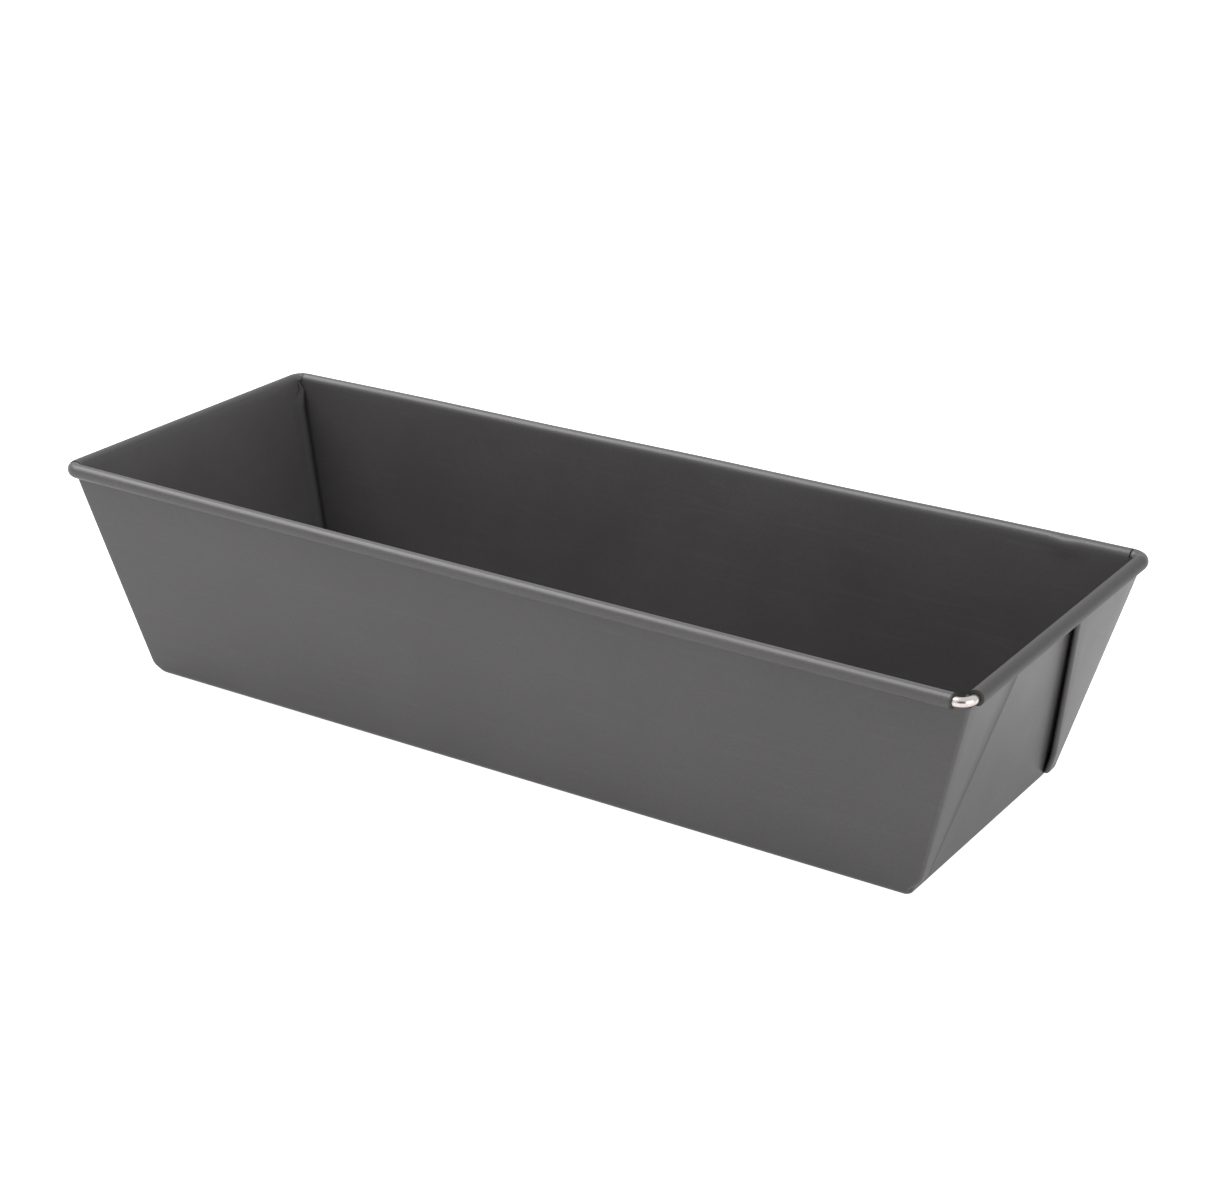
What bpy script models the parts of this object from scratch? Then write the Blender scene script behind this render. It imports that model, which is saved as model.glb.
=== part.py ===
"""Folded-steel loaf pan: one coated sheet folded into a tray and hemmed over a steel wire.

Metres, +Z up. X runs along the pan, Y across it, and the origin is under its middle.
"""

from math import atan, cos, pi, radians, sin, tan

import bmesh
import bpy
from mathutils import Matrix, Vector

# Driving sizes
RIM_LENGTH = 0.300
RIM_WIDTH = 0.111
HEIGHT = 0.068
END_LEAN = radians(15.4)
SIDE_LEAN = radians(8.6)
SHEET = 0.0008
WIRE_RADIUS = 0.00125
WIRE_GAP = 0.0002
BEND_RADIUS = 0.002
WIRE_BUTT_GAP = 0.0005
HEM_SWEEP = radians(290)
BARE_WIRE_ON_SIDE = 0.003
BARE_WIRE_ON_END = 0.0005
FLAP_GAP = 0.0003
SKIN_STEP = 0.00005

# The wire's centreline, the hem that is rolled round it, and the base's outer edges below
HEM_INNER = WIRE_RADIUS + WIRE_GAP
HEM_OUTER = HEM_INNER + SHEET
WIRE_BEND = BEND_RADIUS + HEM_INNER
WIRE_X = RIM_LENGTH / 2 - HEM_OUTER
WIRE_Y = RIM_WIDTH / 2 - HEM_OUTER
WIRE_Z = HEIGHT - HEM_OUTER

BASE_X = WIRE_X - HEM_INNER / cos(END_LEAN) - WIRE_Z * tan(END_LEAN)
BASE_Y = WIRE_Y - HEM_INNER / cos(SIDE_LEAN) - WIRE_Z * tan(SIDE_LEAN)

# How far each wall's corner edge runs outwards for each metre up that wall
END_SPREAD = tan(SIDE_LEAN) * cos(END_LEAN)
SIDE_SPREAD = tan(END_LEAN) * cos(SIDE_LEAN)

# The sheet left over between two leaning walls folds in half, and its crease leans inwards
FLAP_ANGLE = (pi / 2 - atan(END_SPREAD) - atan(SIDE_SPREAD)) / 2
CREASE_SPREAD = tan(FLAP_ANGLE - atan(END_SPREAD))
FLAP_SPREAD = END_SPREAD + CREASE_SPREAD
FLAP_BEND = 1.5 * SHEET
FLAP_FOOT = 3 * SHEET / FLAP_SPREAD
FLAP_TOP = WIRE_Z / cos(END_LEAN) - HEM_OUTER - FLAP_GAP

# Segments of each rounding
BEND_STEPS = 4
CREASE_STEPS = 6
HEM_STEPS = 14
WIRE_BEND_STEPS = 8


def clear_scene():
    for obj in list(bpy.data.objects):
        bpy.data.objects.remove(obj, do_unlink=True)


def new_collection(name):
    collection = bpy.data.collections.new(name)
    bpy.context.scene.collection.children.link(collection)
    return collection


def new_material(name, colour, roughness, metallic):
    material = bpy.data.materials.new(name)
    material.use_nodes = True
    shader = material.node_tree.nodes["Principled BSDF"]
    shader.inputs["Base Color"].default_value = (*colour, 1)
    shader.inputs["Roughness"].default_value = roughness
    shader.inputs["Metallic"].default_value = metallic
    return material


def new_object(name, data, material, collection):
    obj = bpy.data.objects.new(name, data)
    obj.data.materials.append(material)
    collection.objects.link(obj)
    return obj


def mesh_from(bm, name):
    bmesh.ops.recalc_face_normals(bm, faces=bm.faces)
    lowest = min(bm.faces, key=lambda face: face.calc_center_median().z)
    if lowest.normal.z > 0:
        bmesh.ops.reverse_faces(bm, faces=bm.faces)
    mesh = bpy.data.meshes.new(name)
    bm.to_mesh(mesh)
    bm.free()
    return mesh


def arc(centre, radius, start, turn, steps):
    """Points of an arc in a plane, from the angle start through turn."""
    angles = [start + turn * i / steps for i in range(steps + 1)]
    return [(centre[0] + radius * cos(a), centre[1] + radius * sin(a)) for a in angles]


def open_frustum():
    """The tray's outer face, open at the top, with its bends rounded."""
    bm = bmesh.new()
    bmesh.ops.create_cube(bm, size=2)
    for vert in bm.verts:
        rise = WIRE_Z if vert.co.z > 0 else 0
        vert.co.x *= BASE_X + rise * tan(END_LEAN)
        vert.co.y *= BASE_Y + rise * tan(SIDE_LEAN)
        vert.co.z = rise
    mouth = max(bm.faces, key=lambda face: face.calc_center_median().z)
    bmesh.ops.delete(bm, geom=[mouth], context="FACES_ONLY")
    bends = [edge for edge in bm.edges if not edge.is_boundary]
    bmesh.ops.bevel(bm, geom=bends, offset=BEND_RADIUS, segments=BEND_STEPS, profile=0.5, affect="EDGES")
    return bm


def cut_across(bm, axis, place):
    """Adds a line of edges across the tray, square to an axis."""
    normal = Vector((0, 0, 0))
    normal[axis] = 1
    geom = [*bm.verts, *bm.edges, *bm.faces]
    bmesh.ops.bisect_plane(bm, geom=geom, plane_co=normal * place, plane_no=normal)


def roll_hem(bm, axis, sign, wire, lean):
    """Carries the edge over the middle of one wall on round the wire."""
    along = 1 - axis

    def is_lip(edge):
        start, end = edge.verts
        over_middle = start.co[along] * end.co[along] < 0
        return edge.is_boundary and over_middle and start.co[axis] * sign > 0

    lip = [edge for edge in bm.edges if is_lip(edge)]
    for out, up in arc((wire, WIRE_Z), HEM_INNER, pi - lean, -HEM_SWEEP, HEM_STEPS):
        grown = bmesh.ops.extrude_edge_only(bm, edges=lip)["geom"]
        lip = [part for part in grown if isinstance(part, bmesh.types.BMEdge) and is_lip(part)]
        for vert in {vert for edge in lip for vert in edge.verts}:
            vert.co[axis] = sign * out
            vert.co.z = up


def flap_section(rise):
    """A flap's outline at a height up the end wall, as (out from the wall, in from the side face)."""
    width = rise * FLAP_SPREAD
    outer = FLAP_GAP + 2 * SHEET
    root = -BEND_RADIUS - SHEET
    corner = arc((outer - FLAP_BEND, SKIN_STEP + FLAP_BEND), FLAP_BEND, -pi / 2, pi / 2, BEND_STEPS)
    crease = arc((outer - SHEET, width - SHEET), SHEET, 0, pi, CREASE_STEPS)
    inside = SHEET - SKIN_STEP
    return [(root, SKIN_STEP), *corner, *crease, (FLAP_GAP, inside), (root, inside)]


def flap_mesh():
    """One corner's doubled flap, lofted up the outside of the end wall from a narrow foot."""
    out = Vector((cos(END_LEAN), 0, -sin(END_LEAN)))
    up = Vector((sin(END_LEAN), 0, cos(END_LEAN)))
    bm = bmesh.new()
    loops = []
    for rise in (FLAP_FOOT, FLAP_TOP):
        corner = Vector((BASE_X, -BASE_Y - rise * END_SPREAD, 0)) + up * rise
        places = [corner + out * n + Vector((0, y, 0)) for n, y in flap_section(rise)]
        loops.append([bm.verts.new(place) for place in places])
    foot, head = loops
    for i, vert in enumerate(foot):
        bm.faces.new((foot[i - 1], vert, head[i], head[i - 1]))
    bm.faces.new(foot)
    bm.faces.new(head)
    return mesh_from(bm, "corner_flaps")


def make_pan_body(collection, helpers, material):
    bm = open_frustum()
    for sign in (-1, 1):
        cut_across(bm, 0, sign * (WIRE_X - WIRE_BEND - BARE_WIRE_ON_SIDE))
        cut_across(bm, 1, sign * (WIRE_Y - WIRE_BEND - BARE_WIRE_ON_END))
    for sign in (-1, 1):
        roll_hem(bm, 1, sign, WIRE_Y, SIDE_LEAN)
        roll_hem(bm, 0, sign, WIRE_X, END_LEAN)
    body = new_object("pan_body", mesh_from(bm, "pan_body"), material, collection)
    shell = body.modifiers.new("Sheet", "SOLIDIFY")
    shell.thickness = SHEET
    shell.offset = -1
    shell.use_even_offset = True
    flaps = new_object("corner_flaps", flap_mesh(), material, helpers)
    flaps.hide_render = True
    flaps.display_type = "WIRE"
    mirror = flaps.modifiers.new("Four corners", "MIRROR")
    mirror.use_axis = (True, True, False)
    join = body.modifiers.new("Flaps", "BOOLEAN")
    join.operation = "UNION"
    join.solver = "EXACT"
    join.object = flaps
    return body


def wire_route():
    """The rim wire's centreline, from its butt joint in the back long side round to it again."""
    corners = (
        (-WIRE_X + WIRE_BEND, WIRE_Y - WIRE_BEND, pi / 2),
        (-WIRE_X + WIRE_BEND, -WIRE_Y + WIRE_BEND, pi),
        (WIRE_X - WIRE_BEND, -WIRE_Y + WIRE_BEND, 3 * pi / 2),
        (WIRE_X - WIRE_BEND, WIRE_Y - WIRE_BEND, 0),
    )
    route = [(-WIRE_BUTT_GAP / 2, WIRE_Y)]
    for x, y, start in corners:
        route += arc((x, y), WIRE_BEND, start, pi / 2, WIRE_BEND_STEPS)
    route.append((WIRE_BUTT_GAP / 2, WIRE_Y))
    return route


def make_rim_wire(collection, material):
    curve = bpy.data.curves.new("rim_wire", "CURVE")
    curve.dimensions = "3D"
    curve.bevel_depth = WIRE_RADIUS
    curve.bevel_resolution = 4
    curve.use_fill_caps = True
    route = wire_route()
    spline = curve.splines.new("POLY")
    spline.points.add(len(route) - 1)
    for point, (x, y) in zip(spline.points, route):
        point.co = (x, y, 0, 1)
    wire = new_object("rim_wire", curve, material, collection)
    wire.matrix_world = Matrix.Translation((0, 0, WIRE_Z))
    return wire


def main():
    clear_scene()
    pan = new_collection("loaf_pan")
    helpers = new_collection("helpers")
    coating = new_material("nonstick_coating", (0.09, 0.09, 0.095), 0.42, 0.6)
    steel = new_material("plated_wire", (0.75, 0.73, 0.7), 0.25, 1.0)
    make_pan_body(pan, helpers, coating)
    make_rim_wire(pan, steel)


main()
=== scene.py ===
from math import cos, exp, pi, radians, sin, tan

import bmesh
import bpy
from mathutils import Matrix, Vector


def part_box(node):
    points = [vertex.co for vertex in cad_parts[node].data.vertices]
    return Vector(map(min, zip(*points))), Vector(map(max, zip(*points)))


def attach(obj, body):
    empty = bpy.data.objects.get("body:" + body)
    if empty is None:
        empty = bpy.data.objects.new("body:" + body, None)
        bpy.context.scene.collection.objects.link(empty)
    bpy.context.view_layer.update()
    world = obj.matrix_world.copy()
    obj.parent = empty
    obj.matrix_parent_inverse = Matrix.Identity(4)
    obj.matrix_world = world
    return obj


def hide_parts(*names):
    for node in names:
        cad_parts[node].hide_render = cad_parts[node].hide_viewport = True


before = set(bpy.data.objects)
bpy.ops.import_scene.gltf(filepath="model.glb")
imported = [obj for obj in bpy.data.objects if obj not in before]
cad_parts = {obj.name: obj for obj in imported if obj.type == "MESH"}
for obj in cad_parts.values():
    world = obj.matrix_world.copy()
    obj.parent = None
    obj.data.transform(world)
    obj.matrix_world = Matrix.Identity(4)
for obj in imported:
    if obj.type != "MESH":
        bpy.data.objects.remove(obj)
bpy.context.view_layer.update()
_, pan_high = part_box("pan_body")
wire_low, wire_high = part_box("rim_wire")

# ---------------------------------------------------------------------------
# Studio: a white floor under a bright even sky that is dark only behind the camera, a soft box
# overhead to the left that draws the long highlights along the rim, a weaker one low on the right
# for the end wall, and a long lens looking down on the near corner.

camera_turn = radians(33.33)
camera_rise = radians(22.57)
camera_roll = radians(-0.10)
camera_distance = 0.7441
aim_right, aim_up = 0.0070, 0.0365

back = Vector((sin(camera_turn) * cos(camera_rise), -cos(camera_turn) * cos(camera_rise), sin(camera_rise)))
right = Vector((cos(camera_turn), sin(camera_turn), 0))
up = back.cross(right)
camera_data = bpy.data.cameras.new("studio_camera")
camera_data.sensor_width = 36
camera_data.lens = 75.02
camera_data.clip_start = 0.05
camera = bpy.data.objects.new("studio_camera", camera_data)
bpy.context.scene.collection.objects.link(camera)
axes = Matrix((right, up, back)).transposed().to_4x4() @ Matrix.Rotation(camera_roll, 4, "Z")
camera.matrix_world = Matrix.Translation(back * camera_distance + right * aim_right + up * aim_up) @ axes
bpy.context.scene.camera = camera
bpy.context.scene.view_settings.view_transform = "Standard"

sky = bpy.data.worlds.new("studio_sky")
sky.use_nodes = True
sky_nodes = sky.node_tree.nodes
sky_link = sky.node_tree.links.new
sky_way = sky_nodes.new("ShaderNodeTexCoord")
sky_towards = sky_nodes.new("ShaderNodeVectorMath")
sky_towards.operation = "DOT_PRODUCT"
sky_towards.inputs[1].default_value = back
sky_dim = sky_nodes.new("ShaderNodeMapRange")
sky_dim.interpolation_type = "SMOOTHSTEP"
dark_from, dark_within = radians(34), radians(18)
open_sky, dark_sky = 0.8, 0.12
sky_dim.inputs["From Min"].default_value = cos(dark_from)
sky_dim.inputs["From Max"].default_value = cos(dark_within)
sky_dim.inputs["To Min"].default_value = open_sky
sky_dim.inputs["To Max"].default_value = dark_sky
sky_seen = sky_nodes.new("ShaderNodeLightPath")
sky_strength = sky_nodes.new("ShaderNodeMix")
sky_strength.inputs["B"].default_value = 1.0
sky_link(sky_way.outputs["Generated"], sky_towards.inputs[0])
sky_link(sky_towards.outputs["Value"], sky_dim.inputs["Value"])
sky_link(sky_seen.outputs["Is Camera Ray"], sky_strength.inputs["Factor"])
sky_link(sky_dim.outputs["Result"], sky_strength.inputs["A"])
sky_link(sky_strength.outputs["Result"], sky_nodes["Background"].inputs["Strength"])
sky_nodes["Background"].inputs["Color"].default_value = (1, 1, 1, 1)
bpy.context.scene.world = sky


def soft_box(name, direction, distance, width, power):
    """A square area light that looks at the middle of the pan."""
    light = bpy.data.lights.new(name, "AREA")
    light.shape = "SQUARE"
    light.size = width
    light.energy = power
    box = bpy.data.objects.new(name, light)
    bpy.context.scene.collection.objects.link(box)
    towards = Vector(direction).normalized()
    facing = towards.to_track_quat("Z", "Y").to_matrix().to_4x4()
    box.matrix_world = Matrix.Translation(towards * distance) @ facing


soft_box("overhead_box", direction=(-0.51, -0.10, 0.87), distance=1.6, width=1.3, power=25)
soft_box("right_fill", direction=(0.92, -0.16, 0.28), distance=1.8, width=1.0, power=10)

# The floor glows a little for every ray, so the pan's own shade on it stays soft, and more for the
# camera, so it stays white. It lies a hair under the pan's bottom.
floor_size = 12.0
floor_drop = 0.0001
floor_glow, floor_camera_glow = 0.38, 0.6
floor_mesh = bpy.data.meshes.new("studio_floor")
floor_build = bmesh.new()
bmesh.ops.create_grid(floor_build, x_segments=1, y_segments=1, size=floor_size / 2)
floor_build.to_mesh(floor_mesh)
floor_build.free()
studio_floor = bpy.data.objects.new("studio_floor", floor_mesh)
bpy.context.scene.collection.objects.link(studio_floor)
studio_floor.location.z = -floor_drop
floor_paint = bpy.data.materials.new("studio_floor_paint")
floor_paint.use_nodes = True
floor_shader = floor_paint.node_tree.nodes["Principled BSDF"]
floor_shader.inputs["Base Color"].default_value = (0.575, 0.575, 0.575, 1)
floor_shader.inputs["Roughness"].default_value = 0.9
floor_shader.inputs["Specular IOR Level"].default_value = 0.0
floor_shader.inputs["Emission Color"].default_value = (1, 1, 1, 1)
floor_seen = floor_paint.node_tree.nodes.new("ShaderNodeLightPath")
floor_white = floor_paint.node_tree.nodes.new("ShaderNodeMath")
floor_white.operation = "MULTIPLY_ADD"
floor_white.inputs[1].default_value = floor_camera_glow
floor_white.inputs[2].default_value = floor_glow
floor_link = floor_paint.node_tree.links.new
floor_link(floor_seen.outputs["Is Camera Ray"], floor_white.inputs[0])
floor_link(floor_white.outputs["Value"], floor_shader.inputs["Emission Strength"])
floor_mesh.materials.append(floor_paint)

# ---------------------------------------------------------------------------
# Pan body: one sheet of coated steel, folded up like an envelope with its corners uncut. The spare
# sheet at each corner is pleated flat against the outside of the end wall, and the top edges are
# rolled out and down round the rim wire.

sheet = 0.0008
wire_radius = (wire_high.z - wire_low.z) / 2
hem_play = 0.0001
floor_bend = 0.0016
corner_bend = 0.0014
end_lean = radians(15.4)
side_lean = radians(8.6)
hem_roll = radians(292)
wire_bend = 0.0022 + wire_radius
# How far short of each rim corner a hem stops. The keys are the corner's sides in x and y: (1, -1) is
# the right front. A hem that stops short by less than wire_bend follows the wire round its bend.
side_hem_ends = {(-1, -1): 0.0004, (1, -1): 0.0038, (-1, 1): 0.0022, (1, 1): 0.0037}
end_hem_ends = {(-1, -1): 0.0018, (1, -1): 0.0045, (-1, 1): -0.0005, (1, 1): -0.0018}

hem_mid = wire_radius + hem_play + sheet / 2
hem_outer = hem_mid + sheet / 2
wire_x = wire_high.x - wire_radius
wire_y = wire_high.y - wire_radius
wire_z = wire_high.z - wire_radius
base_x = wire_x - (hem_mid - sheet / 2) / cos(end_lean) - wire_z * tan(end_lean)
base_y = wire_y - (hem_mid - sheet / 2) / cos(side_lean) - wire_z * tan(side_lean)
end_skin = sheet / cos(end_lean)
side_skin = sheet / cos(side_lean)
hem_clearance = 0.0004
flap_top = wire_z - (hem_outer + hem_clearance) * cos(end_lean)
pinched_roll, pinched_gap = 0.0006, 0.0001
least_step = 0.0001


def smooth(value):
    """Ease from 0 to 1, and stay there outside that range."""
    value = min(max(value, 0), 1)
    return value * value * (3 - 2 * value)


class Pleat:
    """How one corner's spare sheet was pressed into its flap.

    foot and spread: the flap's width at the floor, and what it gains for each metre up the wall
    rise: the height in which the plain bottom corner opens into the pleat
    root_gap, root_roll and bead: how loose, how round and how bulged the sheet is at the flap's root
    foot_lift and top_lift: how far the flap's free edge springs off the end wall, low and high
    """

    def __init__(self, foot, spread, rise, root_gap, root_roll, foot_lift, top_lift, bead):
        self.foot = foot
        self.spread = spread
        self.rise = rise
        self.root_gap = root_gap
        self.root_roll = root_roll
        self.foot_lift = foot_lift
        self.top_lift = top_lift
        self.bead = bead

    def width(self, height):
        return self.foot + self.spread * height / cos(end_lean)

    def slack(self, height):
        """How loose the root is at this height: it is pinched tight where it goes under the rim."""
        pinch = 0.004
        return 1 - smooth((height - flap_top + pinch) / pinch)

    def roll(self, height):
        return pinched_roll + (self.root_roll - pinched_roll) * self.slack(height)

    def bulge(self, height):
        """How far the root stands into the pan: it is flattened only just under the wire."""
        flat_above, flattens_over = 0.001, 0.004
        return self.bead * (1 - smooth((height - flap_top + flat_above) / flattens_over))

    def gap(self, height, share):
        """Clear space under the flap, share being 0 at its root and 1 at its free edge."""
        root = pinched_gap + (self.root_gap - pinched_gap) * self.slack(height)
        lift = self.foot_lift + (self.top_lift - self.foot_lift) * height / wire_z
        held_low, narrowing, curl = 0.012, 0.7, 1.2
        return root * (1 - narrowing * share) + lift * smooth(height / held_low) * share ** curl


# foot, spread, rise, root_gap, root_roll, foot_lift, top_lift, bead
pleats = {
    (1, -1): Pleat(0.0030, 0.395, 0.0052, 0.0001, 0.0010, 0.0000, 0.0000, 0.0002),
    (1, 1): Pleat(0.0028, 0.570, 0.0024, 0.0002, 0.0012, 0.0011, 0.0007, 0.0003),
    (-1, -1): Pleat(0.0008, 0.560, 0.0024, 0.0002, 0.0016, 0.0003, 0.0005, 0.0003),
    (-1, 1): Pleat(0.0016, 0.520, 0.0040, 0.0010, 0.0046, 0.0008, 0.0008, 0.0020),
}


def arc(centre, radius, start, turn, steps):
    """Points of an arc in a plane, from the angle start through turn."""
    angles = [start + turn * i / steps for i in range(steps + 1)]
    return [(centre[0] + radius * cos(a), centre[1] + radius * sin(a)) for a in angles]


RUN_STEPS = 6
ROOT_STEPS = 10


def pleat_path(pleat, height):
    """The sheet's route round a corner, seen from above, from the side wall to the end wall.

    It goes out past the end wall, folds flat, runs along the flap's outer layer to the free edge,
    turns back along the inner layer, and comes round the root into the end wall. Each point is (out
    from the end's outer face, in from the side's outer face).
    """
    nip = sheet * 0.06
    least_width = 4.2 * sheet
    past_root = 0.0006
    width = max(pleat.width(height), least_width)
    pressed = pleat.gap(height, 0)
    root = pressed + end_skin / 2
    outer_root = root + end_skin + nip
    fold = 0.9 * sheet
    tight = (end_skin + nip) / 2
    turn_back = side_skin * 1.15 + end_skin / 2 + tight
    path = [(-end_skin / 2 - corner_bend, side_skin / 2), (-end_skin / 2, side_skin / 2)]
    path += arc((outer_root - fold, side_skin / 2 + fold), fold, -pi / 2, pi / 2, 5)
    run_start, run_end = side_skin / 2 + fold, width - tight
    shares = [i / RUN_STEPS for i in range(1, RUN_STEPS + 1)]
    path += [
        (outer_root + pleat.gap(height, share) - pressed, run_start + (run_end - run_start) * share)
        for share in shares
    ]
    lifted = pleat.gap(height, 1) - pressed
    path += arc((root + tight + lifted, run_end), tight, 0, pi, 8)[1:]
    path += [
        (root + pleat.gap(height, share) - pressed, turn_back + (run_end - turn_back) * share)
        for share in (0.8, 0.6, 0.4, 0.2, 0)
    ]
    path += arc((root - tight, turn_back), tight, 0, -pi / 2, 4)[1:]
    roll = pleat.roll(height)
    reach = root - tight + end_skin / 2
    for i in range(1, ROOT_STEPS + 1):
        angle = pi / 2 * i / ROOT_STEPS
        out = root - tight - reach * sin(angle) - pleat.bulge(height) * sin(2 * angle)
        path.append((out, turn_back - tight + roll - roll * cos(angle)))
    path.append((-end_skin / 2, turn_back - tight + roll + past_root))
    return path


PLEAT_POINTS = len(pleat_path(pleats[1, 1], 0.03))
# Above the flaps only the side wall's own edge and the sheet from the root's tip on carry up.
ROOT_TIP = PLEAT_POINTS - ROOT_STEPS - 2
PLEAT_OPEN = range(1, ROOT_TIP)
# Where along the path the fold at the corner is rubbed, where a sprung flap's free edge is, which gets a
# painted highlight,
# and where painted shade goes: in the crevice under the flap, and over the free edge too where a flap is
# pressed shut.
PLEAT_EDGE = (3, 4, 5, 6)
PLEAT_FREE_EDGE = (15, 16, 17)
PLEAT_CREVICE = range(19, ROOT_TIP + 1)
# How dark the painted shade is over the free edge of a flap pressed shut, point by point
PLEAT_SHUT = {12: 0.15, 13: 0.55, 14: 0.9, 15: 1.0, 16: 1.0, 17: 1.0, 18: 1.0}
BEND_STEPS = 6
HEM_STEPS = 28


def wall_rows():
    """Rows up the sheet: (end height, end inset, side height, side inset), floor bend first."""
    rows = []
    for i in range(BEND_STEPS + 1):
        row = []
        for lean in (end_lean, side_lean):
            angle = (pi / 2 - lean) * i / BEND_STEPS
            reach = sheet / 2 + floor_bend
            height = reach - floor_bend * cos(angle)
            inset = reach * (1 - sin(lean)) / cos(lean) - floor_bend * sin(angle) + height * tan(lean)
            row += [height, inset]
        rows.append(tuple(row))
    start_end, _, start_side, _ = rows[-1]
    top_end = wire_z + hem_mid * sin(end_lean)
    top_side = wire_z + hem_mid * sin(side_lean)
    # Close together at the foot and under the rim, where the pleats change shape
    heights = [0.012, 0.028, 0.045, 0.065, 0.09, 0.12, 0.16, 0.2, 0.27, 0.35, 0.44, 0.53, 0.62, 0.71]
    heights += [0.8, 0.87, 0.92, 0.96]
    flap_share = (flap_top - start_end) / (top_end - start_end)
    for share in [h * flap_share for h in heights] + [flap_share, (1 + flap_share) / 2, 1]:
        end = start_end + (top_end - start_end) * share
        side = start_side + (top_side - start_side) * share
        rows.append((end, end_skin / 2, side, side_skin / 2))
    return rows


def corner_row(sx, sy, row):
    """One corner's points in one row, from the side wall round to the end wall.

    At the floor it is a plain rounded corner, which opens into the pleat as it goes up. The flap's
    cut top rises a little beside the corner's fold.
    """
    end_height, end_inset, side_height, side_inset = row
    pleat = pleats[sx, sy]
    starts_late = 0.25
    opened = smooth(end_height / pleat.rise - starts_late)
    near_top, top_rise, flat_from, flat_over = 0.0005, 0.0009, 0.0022, 0.0015
    top_row = 1 - min(abs(end_height - flap_top) / near_top, 1)
    folded = pleat_path(pleat, end_height)
    points = []
    for i, (fold_out, fold_in) in enumerate(folded):
        share = i / (PLEAT_POINTS - 1)
        turn = share * pi / 2
        height = side_height + (end_height - side_height) * share
        if i in PLEAT_OPEN:
            height += top_rise * top_row * (1 - smooth((fold_in - flat_from) / flat_over))
        plain_out = -end_inset - corner_bend + corner_bend * sin(turn)
        plain_in = side_inset + corner_bend - corner_bend * cos(turn)
        out = plain_out + (fold_out - plain_out) * opened
        into = plain_in + (fold_in - plain_in) * opened
        x = base_x + height * tan(end_lean) + out
        y = base_y + height * tan(side_lean) - into
        points.append(Vector((sx * x, sy * y, height)))
    return points


def wall_shares(length, near_cut, far_cut, count):
    """Places along a wall, from 0 to 1, with the hem's two cut ends among them.

    Beside each cut end is a narrow lip, which keeps the cut's darkening, painted shade along with dirt, from
    spreading along the hem.
    """
    start, end = near_cut / length, 1 - far_cut / length
    # The lip that holds the cut's painted shade and dirt
    dirt_and_shade_lip = 0.0004
    lip = dirt_and_shade_lip / length
    between = [start + (end - start) * i / count for i in range(1, count)]
    return [0, start, start + lip, *between, end - lip, end, 1]


def follow_wire(bm, chain, sx, sy, wall):
    """Carry a hem on from its last straight section, round the wire's bend, to where it is cut."""
    cuts = end_hem_ends if wall == "end" else side_hem_ends
    along = 1 if wall == "end" else 0
    full = wire_y if wall == "end" else wire_x
    side = sy if wall == "end" else sx
    here = full - abs(chain[0].co[along])
    cut = cuts[sx, sy]
    if cut > here - least_step:
        return chain
    centre = Vector((sx * (wire_x - wire_bend), sy * (wire_y - wire_bend), 0))
    spin = sx * sy if wall == "end" else -sx * sy
    section_spacing = 0.0006
    steps = max(int((here - cut) / section_spacing), 1)
    last = chain
    for step in range(1, steps + 1):
        distance = here + (cut - here) * step / steps
        straight = max(distance, wire_bend)
        turn = spin * (straight - distance) / wire_bend
        section = []
        for vert in chain:
            place = vert.co.copy()
            place[along] = side * (full - straight)
            section.append(bm.verts.new(centre + Matrix.Rotation(turn, 3, "Z") @ (place - centre)))
        for i in range(len(chain) - 1):
            bm.faces.new((last[i], section[i], section[i + 1], last[i + 1]))
        last = section
    return last


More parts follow.
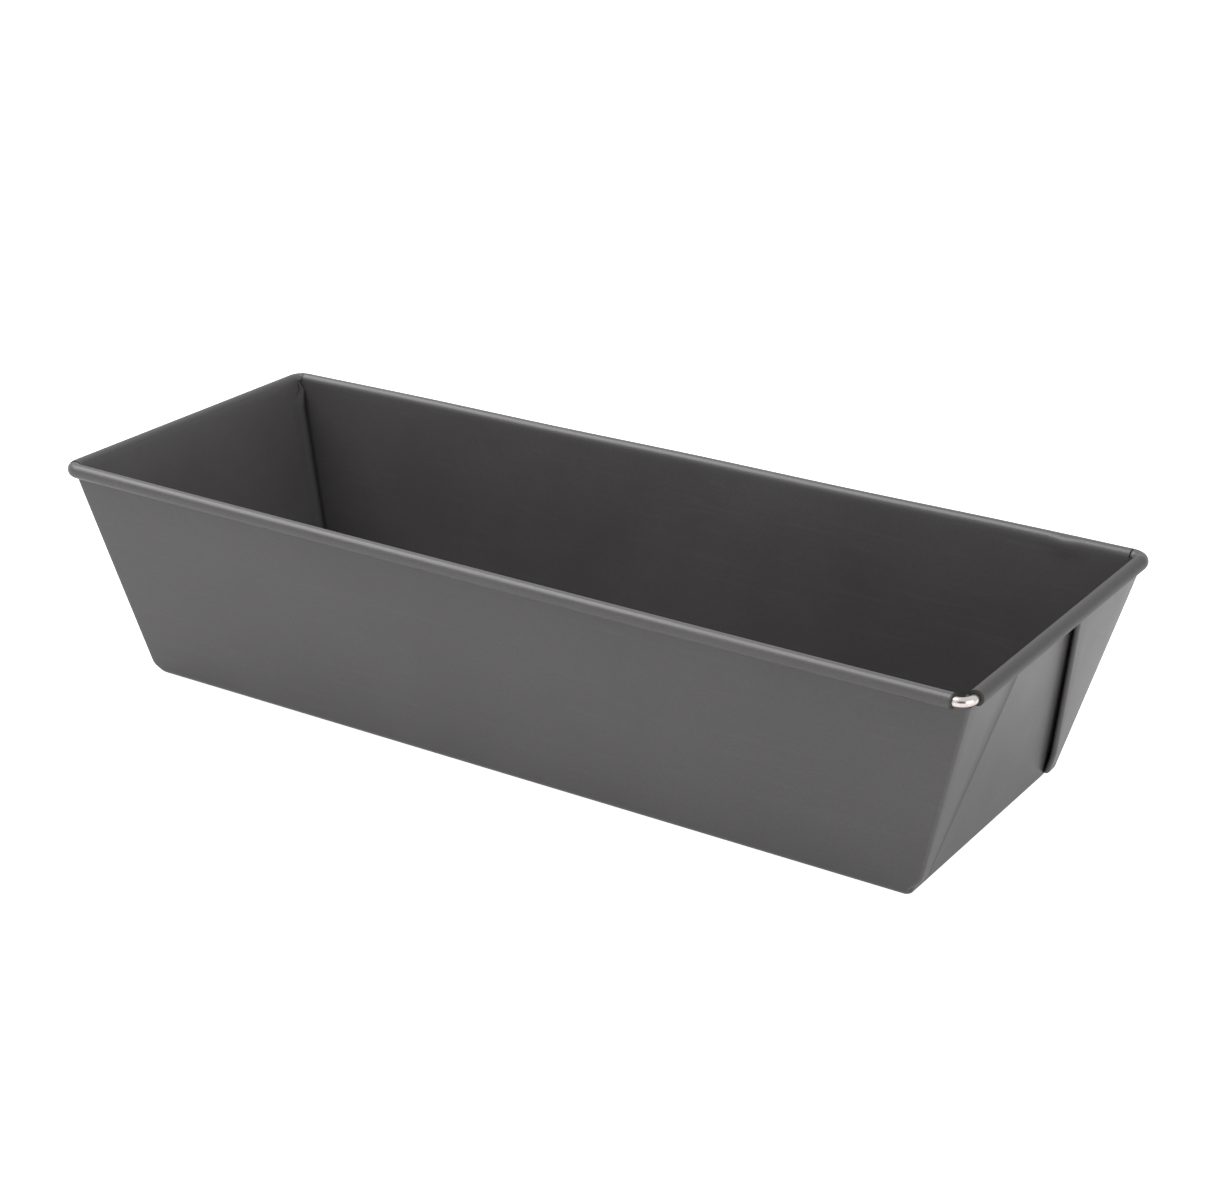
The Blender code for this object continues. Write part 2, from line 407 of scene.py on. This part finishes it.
def build_sheet():
    """The middle surface of the folded sheet, as one grid of faces with the hems rolled on.

    The grid goes round the pan by the corners in the route, each with the wall that comes after it.
    Its points carry two amounts for the coating. One darkens it: painted shade in the pleats' crevices and
    roots and on the end hems, and painted shade with dirt at the hems' cut ends. The other makes it paler:
    wear, and painted highlights on the side hems and on a sprung flap's free edge.
    """
    rows = wall_rows()
    route = [(1, -1, "end"), (1, 1, "side"), (-1, 1, "end"), (-1, -1, "side")]
    columns_along = {"end": 24, "side": 60}

    # The corners' points in every row, each corner in the order in which the route passes it
    grid = []
    for row in rows:
        line = []
        for sx, sy, wall in route:
            corner = corner_row(sx, sy, row)
            line.append(corner if wall == "end" else corner[::-1])
        grid.append(line)

    # Each wall's columns, set out so that the hem's cut ends fall on columns of their own
    top = grid[-1]
    spans = []
    for k, (sx, sy, wall) in enumerate(route):
        after = (k + 1) % 4
        start, end = top[k][-1], top[after][0]
        length = (end - start).length
        next_sx, next_sy, _ = route[after]
        cuts = end_hem_ends if wall == "end" else side_hem_ends
        full = wire_y if wall == "end" else wire_x
        along = 1 if wall == "end" else 0
        near_room = full - abs(start[along])
        far_room = full - abs(end[along])
        near_cut = max(cuts[sx, sy], wire_bend, near_room + least_step) - near_room
        far_cut = max(cuts[next_sx, next_sy], wire_bend, far_room + least_step) - far_room
        spans.append(wall_shares(length, near_cut, far_cut, columns_along[wall]))

    # Every row as one ring of points, with what each column of the ring belongs to
    bm = bmesh.new()
    shade_and_dirt = bm.verts.layers.float.new("shade_and_dirt")
    wear_and_highlight = bm.verts.layers.float.new("wear_and_highlight")
    lines = []
    kinds = []
    for number in range(len(rows)):
        line = []
        for k in range(4):
            after = (k + 1) % 4
            corner = grid[number][k]
            line += corner
            start, end = corner[-1], grid[number][after][0]
            line += [start.lerp(end, share) for share in spans[k][1:-1]]
        lines.append([bm.verts.new(place) for place in line])
    for k in range(4):
        kinds += [("corner", k, i) for i in range(PLEAT_POINTS)]
        kinds += [("wall", k, i) for i in range(1, len(spans[k]) - 1)]

    # Wear on the floor's bend and the pleats' folds, a painted highlight on a sprung flap's free edge, and
    # painted shade in the pleats: in the crevices, over the edge of a flap pressed shut, and along the
    # bulged roots
    flap_row = len(rows) - 3
    pleat_foot_row, root_foot_row = BEND_STEPS + 3, BEND_STEPS + 1
    # How much paler the floor's bend and the folds are from wear, and a sprung flap's free edge from a
    # painted highlight
    bend_rub, fold_rub, free_edge_highlight = 0.8, 0.7, 0.5
    root_painted_shade, full_bead = 0.75, 0.0020
    # How dark the painted shade is along a root with a full bead
    count = len(kinds)
    for number, line in enumerate(lines):
        for vert, (kind, k, i) in zip(line, kinds):
            vert[wear_and_highlight] = bend_rub if 1 < number < BEND_STEPS else 0
            if kind == "corner":
                i = i if route[k][2] == "end" else PLEAT_POINTS - 1 - i
                pleat = pleats[route[k][:2]]
                # Painted shade: black in the crevice under each flap
                vert[shade_and_dirt] = 1.0 if i in PLEAT_CREVICE and number >= pleat_foot_row else 0
                # Painted shade over the free edge of a flap pressed shut
                if pleat.foot_lift == 0 and number >= pleat_foot_row:
                    vert[shade_and_dirt] = max(vert[shade_and_dirt], PLEAT_SHUT.get(i, 0))
                # A painted highlight on a sprung flap's free edge
                elif i in PLEAT_FREE_EDGE:
                    vert[wear_and_highlight] = free_edge_highlight
                # Painted shade along the bulged root, darker the bigger the bead
                if ROOT_TIP < i < PLEAT_POINTS - 1 and number >= root_foot_row:
                    vert[shade_and_dirt] = root_painted_shade * pleat.bead / full_bead
                vert[wear_and_highlight] = max(vert[wear_and_highlight], fold_rub if i in PLEAT_EDGE else 0)

    # The walls and pleats, then the sheet that bridges each corner above its flap, then the floor
    for number in range(len(rows) - 1):
        for j in range(count):
            kind, k, i = kinds[j]
            if kind == "corner" and number >= flap_row:
                i = i if route[k][2] == "end" else PLEAT_POINTS - 2 - i
                if i in PLEAT_OPEN:
                    continue
            quad = (lines[number][j], lines[number][(j + 1) % count])
            bm.faces.new((*quad, lines[number + 1][(j + 1) % count], lines[number + 1][j]))
    for number in range(flap_row, len(rows) - 1):
        for k in range(4):
            first = kinds.index(("corner", k, 0))
            side_edge, turn_edge = first + 1, first + ROOT_TIP
            if route[k][2] == "side":
                side_edge, turn_edge = first + PLEAT_POINTS - 2, first + PLEAT_POINTS - 1 - ROOT_TIP
            low, high = lines[number], lines[number + 1]
            bm.faces.new((low[side_edge], low[turn_edge], high[turn_edge], high[side_edge]))
    bm.faces.new(lines[0][::-1])

    # The hems, rolled round the wire column by column and carried on round its bends. The end hems are
    # darkened with painted shade, the side hems get a paler band round their outer top, painted highlight
    # along with wear, and the cut ends are darkest, painted shade in the open ends along with dirt on the
    # cut.
    # Painted shade on the right and left end hems, and painted shade with dirt at the cut ends
    right_hem_painted_shade, left_hem_painted_shade, cut_shade_and_dirt = 0.35, 0.25, 0.6
    # A paler band round the side hems' outer top: painted highlight along with wear
    hem_highlight_and_wear, hem_band_from, hem_band_over = 0.6, 5, 18
    hems = []
    for j in range(count):
        kind, k, i = kinds[j]
        if kind != "wall" or not 1 <= i < len(spans[k]) - 2:
            continue
        hems.append((j, (j + 1) % count, route[k][2]))
    lean = {"end": end_lean, "side": side_lean}
    rolled = {}

    def roll(j, wall):
        """Roll one column of the sheet round the wire, once, from the wall's top row."""
        if j in rolled:
            return rolled[j]
        first = lines[-1][j]
        axis = 0 if wall == "end" else 1
        wire = wire_x if wall == "end" else wire_y
        sign = 1 if first.co[axis] > 0 else -1
        turns = arc((wire, wire_z), hem_mid, pi - lean[wall], -hem_roll, HEM_STEPS)[1:]
        chain = [first]
        for out, height in turns:
            place = first.co.copy()
            place[axis] = sign * out
            place.z = height
            chain.append(bm.verts.new(place))
            # The end hems are darkened with painted shade
            if wall == "end":
                chain[-1][shade_and_dirt] = right_hem_painted_shade if sign > 0 else left_hem_painted_shade
            # The side hems are paler round their outer top: painted highlight and wear
            else:
                chain[-1][wear_and_highlight] = hem_highlight_and_wear * max(sin(pi * (len(chain) - hem_band_from) / hem_band_over), 0)
        rolled[j] = chain
        return chain

    for j, after, wall in hems:
        one, two = roll(j, wall), roll(after, wall)
        for step in range(len(one) - 1):
            bm.faces.new((one[step], two[step], two[step + 1], one[step + 1]))
    ends = {}
    for j, after, wall in hems:
        ends.setdefault(kinds[j][1], [j, after])[1] = after
    for k, columns in ends.items():
        sx, sy, wall = route[k]
        next_sx, next_sy, _ = route[(k + 1) % 4]
        for column, corner in ((columns[0], (sx, sy)), (columns[1], (next_sx, next_sy))):
            # The cut ends are darkened: painted shade in the open ends, with dirt on the cut
            for vert in follow_wire(bm, roll(column, wall), *corner, wall):
                vert[shade_and_dirt] = cut_shade_and_dirt
    for vert in [v for v in bm.verts if not v.link_faces]:
        bm.verts.remove(vert)
    return bm


def worn_out_of_square(place):
    """Years of being knocked out on a bench: where the pan has bent to.

    The right front rim corner is pushed out and down, the long rims bow and ripple, and the back hem
    has one small knock in its inner side near the right end.
    """
    corner_push, corner_drop = 0.0030, 0.0010
    rim_bow, back_bow = 0.0005, 0.3
    rim_ripple, waves, wave_start = 0.00025, 9.2, 1.3
    knock_x, knock_reach, knock_depth, knock_sink = 0.126, 0.0024, 0.0007, 0.4
    back_from, hem_depth, hem_fade, inner_fade = 0.04, 0.0035, 0.002, 0.0008
    rise = place.z / pan_high.z
    along = place.x / pan_high.x
    across = place.y / pan_high.y
    near_corner = rise * max(0.5 + along / 2, 0) * (0.5 - across / 2)
    pushed = corner_push * near_corner
    dropped = corner_drop * near_corner
    bow = rim_bow * rise * (1 - along * along) * (1 if across < 0 else back_bow) * across
    ripple = rim_ripple * rise * sin(waves * along + wave_start) * max(across, 0)
    on_back_hem = smooth((place.z - wire_z + hem_depth) / hem_fade) * (1 if place.y > back_from else 0)
    on_inner_side = smooth((wire_y - place.y) / inner_fade)
    knock = knock_depth * exp(-(((place.x - knock_x) / knock_reach) ** 2)) * on_inner_side * on_back_hem
    y = place.y - pushed + bow + ripple - knock
    return Vector((place.x, y, place.z - dropped - knock * knock_sink))


body_build = build_sheet()
for vert in body_build.verts:
    vert.co = worn_out_of_square(vert.co)
bmesh.ops.recalc_face_normals(body_build, faces=body_build.faces)
underside = min(body_build.faces, key=lambda face: face.calc_center_median().z)
if underside.normal.z > 0:
    bmesh.ops.reverse_faces(body_build, faces=body_build.faces)
for face in body_build.faces:
    face.smooth = face != underside
body_mesh = bpy.data.meshes.new("folded_pan")
body_build.to_mesh(body_mesh)
body_build.free()
folded_pan = bpy.data.objects.new("folded_pan", body_mesh)
bpy.context.scene.collection.objects.link(folded_pan)
skin = folded_pan.modifiers.new("Sheet", "SOLIDIFY")
skin.thickness = sheet
skin.offset = 0
cut_edge = folded_pan.modifiers.new("Cut edge", "BEVEL")
cut_edge.width = 0.00012
cut_edge.segments = 2
cut_edge.limit_method = "ANGLE"
cut_edge.angle_limit = radians(50)
cut_edge.harden_normals = True


def put(tree, kind, settings=None, **properties):
    """Add a node with its properties and its sockets' plain values set."""
    made = tree.nodes.new(kind)
    for name, value in properties.items():
        setattr(made, name, value)
    for socket, value in (settings or {}).items():
        made.inputs[socket].default_value = value
    return made


def feed(tree, socket, value):
    """Give a socket a plain value, or link another node's output to it."""
    if isinstance(value, bpy.types.NodeSocket):
        tree.links.new(value, socket)
    else:
        socket.default_value = value


def graded(tree, source, low, high, bottom, top):
    """Turn a value between low and high into one between bottom and top, and hold it there."""
    settings = {"From Min": low, "From Max": high, "To Min": bottom, "To Max": top}
    made = put(tree, "ShaderNodeMapRange", settings)
    tree.links.new(source, made.inputs["Value"])
    return made.outputs["Result"]


def blended(tree, share, one, two, kind="RGBA"):
    """Mix two colours or two numbers by a share."""
    made = put(tree, "ShaderNodeMix", data_type=kind)
    share_slot, one_slot, two_slot, mixed = {"RGBA": (0, 6, 7, 2), "FLOAT": (0, 2, 3, 0)}[kind]
    feed(tree, made.inputs[share_slot], share)
    feed(tree, made.inputs[one_slot], one)
    feed(tree, made.inputs[two_slot], two)
    return made.outputs[mixed]


def arithmetic(tree, operation, one, two):
    """One operation on two values."""
    made = put(tree, "ShaderNodeMath", operation=operation)
    feed(tree, made.inputs[0], one)
    feed(tree, made.inputs[1], two)
    return made.outputs["Value"]


# Handled metal: cloudy finger marks, the fine grain of the surface, and hairline scratches that run
# along the pan. The coating and the wire both carry it, each at its own sizes.
handled = bpy.data.node_groups.new("Handled metal", "ShaderNodeTree")
handled.interface.new_socket("Position", in_out="INPUT", socket_type="NodeSocketVector")
for size_name in ("Cloud size", "Grain size", "Scratch spacing"):
    handled.interface.new_socket(size_name, in_out="INPUT", socket_type="NodeSocketFloat")
for mask_name in ("Clouds", "Grain", "Scratches"):
    handled.interface.new_socket(mask_name, in_out="OUTPUT", socket_type="NodeSocketFloat")
handled_in = put(handled, "NodeGroupInput")
handled_out = put(handled, "NodeGroupOutput")
scratch_stretch, scratch_slant = (0.035, 1.0, 1.0), (0, 0.06, 0.05)
stretch = put(handled, "ShaderNodeMapping", {"Scale": scratch_stretch, "Rotation": scratch_slant})
handled.links.new(handled_in.outputs["Position"], stretch.inputs["Vector"])
for size_name, mask_name, detail, place in (
    ("Cloud size", "Clouds", 4.0, handled_in.outputs["Position"]),
    ("Grain size", "Grain", 1.0, handled_in.outputs["Position"]),
    ("Scratch spacing", "Scratches", 2.0, stretch.outputs["Vector"]),
):
    pattern = put(handled, "ShaderNodeTexNoise", {"Detail": detail, "Roughness": 0.55})
    per_metre = arithmetic(handled, "DIVIDE", 1.0, handled_in.outputs[size_name])
    handled.links.new(place, pattern.inputs["Vector"])
    handled.links.new(per_metre, pattern.inputs["Scale"])
    mask = pattern.outputs["Fac"]
    if mask_name == "Scratches":
        # The noise's own middle value draws thin lines
        line_width = 0.012
        from_line = arithmetic(handled, "ABSOLUTE", arithmetic(handled, "SUBTRACT", mask, 0.5), 0)
        mask = graded(handled, from_line, 0.0, line_width, 1.0, 0.0)
    handled.links.new(mask, handled_out.inputs[mask_name])

# The coating: a thin dark grey satin paint baked on the steel, a little purple, with a fine pebbled
# skin. It is paler where bends and the rim are rubbed, and with painted highlights on the side hems and a
# sprung flap's free edge. It is dull and dark with painted shade in the folds and on the end hems, and with
# painted shade and dirt at the cut ends.
coating = bpy.data.materials.new("nonstick_coating")
coating.use_nodes = True
coat = coating.node_tree
coat_shader = coat.nodes["Principled BSDF"]
coat_place = put(coat, "ShaderNodeTexCoord")
coat_sizes = {"Cloud size": 0.045, "Grain size": 0.0007, "Scratch spacing": 0.006}
coat_marks = put(coat, "ShaderNodeGroup", node_tree=handled)
for size_name, value in coat_sizes.items():
    coat_marks.inputs[size_name].default_value = value
coat.links.new(coat_place.outputs["Object"], coat_marks.inputs["Position"])
clouds = coat_marks.outputs["Clouds"]
grain = coat_marks.outputs["Grain"]
scratches = coat_marks.outputs["Scratches"]
# The sheet's two amounts: painted shade (with dirt at the cut ends), and wear with painted highlights
shade_and_dirt_mask = put(coat, "ShaderNodeAttribute", attribute_name="shade_and_dirt").outputs["Fac"]
wear_and_highlight_mask = put(coat, "ShaderNodeAttribute", attribute_name="wear_and_highlight").outputs["Fac"]

# shade_and_dirt_black is painted shade, with dirt only at the cut ends; worn_and_highlit_coat is wear and
# painted highlights
dark_coat = (0.071, 0.067, 0.0695, 1)
pale_coat = (0.081, 0.077, 0.0795, 1)
pitted_coat = (0.050, 0.047, 0.049, 1)
worn_and_highlit_coat = (0.125, 0.120, 0.120, 1)
scratched_coat = (0.13, 0.125, 0.125, 1)
shade_and_dirt_black = (0.010, 0.009, 0.009, 1)
tone = blended(coat, graded(coat, clouds, 0.35, 0.65, 0, 1), dark_coat, pale_coat)
tone = blended(coat, graded(coat, grain, 0.25, 0.75, 0, 0.35), tone, pitted_coat)
# Paler for wear, and for painted highlights on the side hems and a sprung flap's free edge
worn_and_highlit = arithmetic(coat, "MULTIPLY", wear_and_highlight_mask, graded(coat, grain, 0.4, 0.7, 0.1, 0.55))
tone = blended(coat, worn_and_highlit, tone, worn_and_highlit_coat)
tone = blended(coat, arithmetic(coat, "MULTIPLY", scratches, 0.10), tone, scratched_coat)
# Darker for painted shade in the folds and on the end hems, with dirt at the cut ends
tone = blended(coat, arithmetic(coat, "MULTIPLY", shade_and_dirt_mask, 0.9), tone, shade_and_dirt_black)
coat.links.new(tone, coat_shader.inputs["Base Color"])
polish = graded(coat, clouds, 0.3, 0.7, 0.31, 0.40)
polish = blended(coat, arithmetic(coat, "MULTIPLY", scratches, 0.3), polish, 0.48, "FLOAT")
polish = blended(coat, shade_and_dirt_mask, polish, 0.75, "FLOAT")
coat.links.new(polish, coat_shader.inputs["Roughness"])
pebble = blended(coat, 0.12, grain, scratches, "FLOAT")
coat_bump = put(coat, "ShaderNodeBump", {"Strength": 0.35, "Distance": 0.00002})
coat.links.new(pebble, coat_bump.inputs["Height"])
coat.links.new(coat_bump.outputs["Normal"], coat_shader.inputs["Normal"])
body_mesh.materials.append(coating)
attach(folded_pan, "root")
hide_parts("pan_body")

# ---------------------------------------------------------------------------
# Rim wire: one plated steel wire in a rounded rectangle, its ends butted in the middle of the back
# hem. The hems hide it but for the right front corner, where it shows bright.

wire_gap = 0.0005
wire_sides = 28
wire_steel = bpy.data.materials.new("plated_wire")
wire_steel.use_nodes = True
plate_tree = wire_steel.node_tree
steel_shader = plate_tree.nodes["Principled BSDF"]
steel_shader.inputs["Metallic"].default_value = 1.0
steel_place = put(plate_tree, "ShaderNodeTexCoord")
steel_marks = put(plate_tree, "ShaderNodeGroup", node_tree=handled)
steel_sizes = {"Cloud size": 0.006, "Grain size": 0.00035, "Scratch spacing": 0.0012}
for size_name, value in steel_sizes.items():
    steel_marks.inputs[size_name].default_value = value
plate_tree.links.new(steel_place.outputs["Object"], steel_marks.inputs["Position"])
steel_clouds = steel_marks.outputs["Clouds"]
steel_grain = steel_marks.outputs["Grain"]
clean_steel = (0.84, 0.79, 0.77, 1)
tarnished_steel = (0.58, 0.51, 0.47, 1)
pitted_steel = (0.45, 0.42, 0.40, 1)
tarnish = graded(plate_tree, steel_clouds, 0.4, 0.75, 0, 0.8)
steel_tone = blended(plate_tree, tarnish, clean_steel, tarnished_steel)
pits = graded(plate_tree, steel_grain, 0.5, 0.8, 0, 0.15)
steel_tone = blended(plate_tree, pits, steel_tone, pitted_steel)
plate_tree.links.new(steel_tone, steel_shader.inputs["Base Color"])
steel_polish = graded(plate_tree, steel_clouds, 0.3, 0.7, 0.14, 0.26)
plate_tree.links.new(steel_polish, steel_shader.inputs["Roughness"])
steel_lines = blended(plate_tree, 0.5, steel_grain, steel_marks.outputs["Scratches"], "FLOAT")
steel_bump = put(plate_tree, "ShaderNodeBump", {"Strength": 0.10, "Distance": 0.00002})
plate_tree.links.new(steel_lines, steel_bump.inputs["Height"])
plate_tree.links.new(steel_bump.outputs["Normal"], steel_shader.inputs["Normal"])

# The route starts at the butt joint and goes round by the left back corner. Each corner is given with
# the angle at which its bend starts. The long sides need points for the rim's bow.
bend_points, side_points, back_points = 14, 10, 12
wire_corners = [(-1, 1, pi / 2), (-1, -1, pi), (1, -1, 3 * pi / 2), (1, 1, 0)]
wire_route = [Vector((-wire_gap / 2 - wire_x * i / back_points, wire_y, wire_z)) for i in range(back_points)]
for sx, sy, start in wire_corners:
    centre = (sx * (wire_x - wire_bend), sy * (wire_y - wire_bend))
    turned = [Vector((x, y, wire_z)) for x, y in arc(centre, wire_bend, start, pi / 2, bend_points)]
    straight = turned[0] - wire_route[-1]
    wire_route += [wire_route[-1] + straight * i / side_points for i in range(1, side_points)]
    wire_route += turned
wire_end = Vector((wire_gap / 2, wire_y, wire_z))
straight = wire_end - wire_route[-1]
wire_route += [wire_route[-1] + straight * i / back_points for i in range(1, back_points)]
wire_route += [wire_end]

wire_line = bpy.data.meshes.new("rim_wire_line")
wire_places = [worn_out_of_square(place) for place in wire_route]
wire_line.from_pydata(wire_places, [(i, i + 1) for i in range(len(wire_route) - 1)], [])
bright_wire = bpy.data.objects.new("bright_wire", wire_line)
bpy.context.scene.collection.objects.link(bright_wire)

wire_tree = bpy.data.node_groups.new("Drawn wire", "GeometryNodeTree")
wire_tree.interface.new_socket("Geometry", in_out="INPUT", socket_type="NodeSocketGeometry")
radius_socket = wire_tree.interface.new_socket("Wire radius", in_out="INPUT", socket_type="NodeSocketFloat")
sides_socket = wire_tree.interface.new_socket("Sides", in_out="INPUT", socket_type="NodeSocketInt")
plating_socket = wire_tree.interface.new_socket("Plating", in_out="INPUT", socket_type="NodeSocketMaterial")
wire_tree.interface.new_socket("Geometry", in_out="OUTPUT", socket_type="NodeSocketGeometry")
wire_in = wire_tree.nodes.new("NodeGroupInput")
wire_out = wire_tree.nodes.new("NodeGroupOutput")
to_curve = wire_tree.nodes.new("GeometryNodeMeshToCurve")
ring = wire_tree.nodes.new("GeometryNodeCurvePrimitiveCircle")
drawn = wire_tree.nodes.new("GeometryNodeCurveToMesh")
drawn.inputs["Fill Caps"].default_value = True
realize = wire_tree.nodes.new("GeometryNodeRealizeInstances")
plate = wire_tree.nodes.new("GeometryNodeSetMaterial")
link = wire_tree.links.new
link(wire_in.outputs["Geometry"], to_curve.inputs["Mesh"])
link(to_curve.outputs["Curve"], drawn.inputs["Curve"])
link(wire_in.outputs["Sides"], ring.inputs["Resolution"])
link(wire_in.outputs["Wire radius"], ring.inputs["Radius"])
link(ring.outputs["Curve"], drawn.inputs["Profile Curve"])
link(drawn.outputs["Mesh"], realize.inputs["Geometry"])
link(realize.outputs["Geometry"], plate.inputs["Geometry"])
link(wire_in.outputs["Plating"], plate.inputs["Material"])
link(plate.outputs["Geometry"], wire_out.inputs["Geometry"])

draw = bright_wire.modifiers.new("Drawn wire", "NODES")
draw.node_group = wire_tree
draw[radius_socket.identifier] = wire_radius
draw[sides_socket.identifier] = wire_sides
draw[plating_socket.identifier] = wire_steel
bpy.context.view_layer.update()
evaluated = bright_wire.evaluated_get(bpy.context.evaluated_depsgraph_get())
drawn_mesh = bpy.data.meshes.new_from_object(evaluated)
bright_wire.modifiers.clear()
bright_wire.data = drawn_mesh
for face in drawn_mesh.polygons:
    face.use_smooth = len(face.vertices) == 4
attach(bright_wire, "root")
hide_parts("rim_wire")
